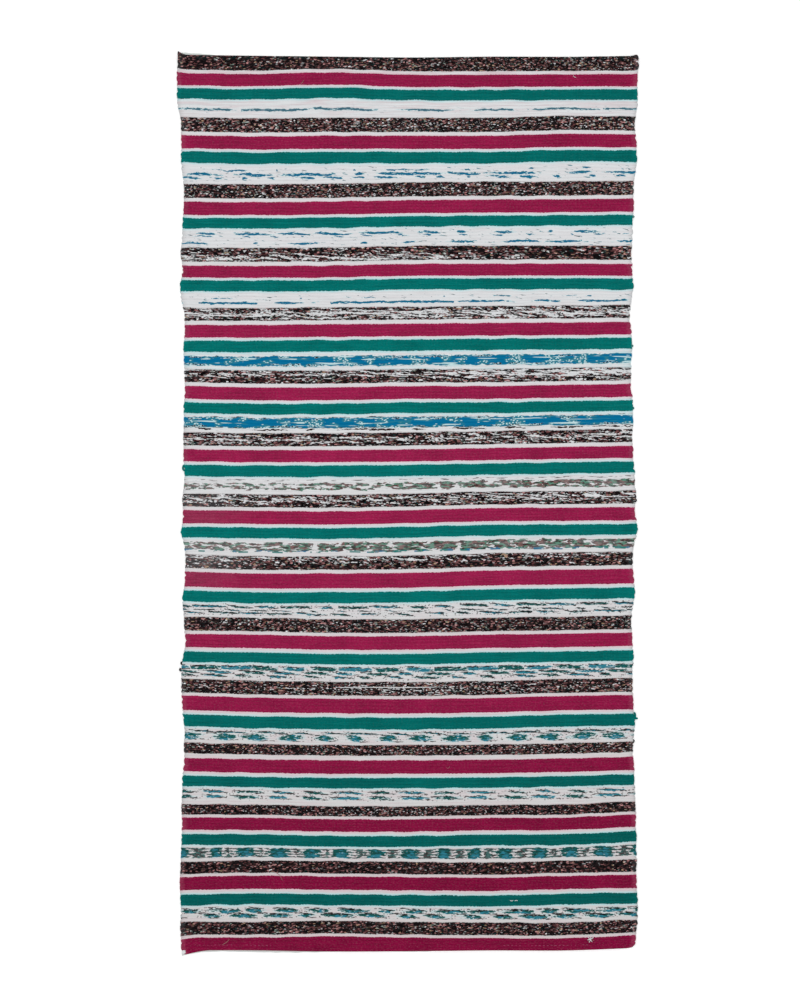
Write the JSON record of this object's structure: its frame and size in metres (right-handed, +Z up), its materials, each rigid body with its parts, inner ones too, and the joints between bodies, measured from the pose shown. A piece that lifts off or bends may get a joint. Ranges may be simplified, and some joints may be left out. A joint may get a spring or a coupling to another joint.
{
  "type": "rag rug",
  "caption": "Flat striped rag rug, weft-ribbed cloth with wavy selvages and turned hems, made to lie on a floor.",
  "frame": {"origin": "centre of the rug's bounding box, on its flat underside", "axes": "+Y along the rug's length, towards the hem at the top of the picture; +X across it, towards the picture's right; +Z up, out of the face"},
  "size_m": [0.7156, 1.3884, 0.0068],
  "materials": {
    "crimson_weft": "matt",
    "green_weft": "matt",
    "white_weft": "matt",
    "printed_weft": "matt",
    "speckled_weft": "matt"
  },
  "bodies": {
    "root": {"woven_cloth": "crimson_weft"}
  },
  "joints": []
}
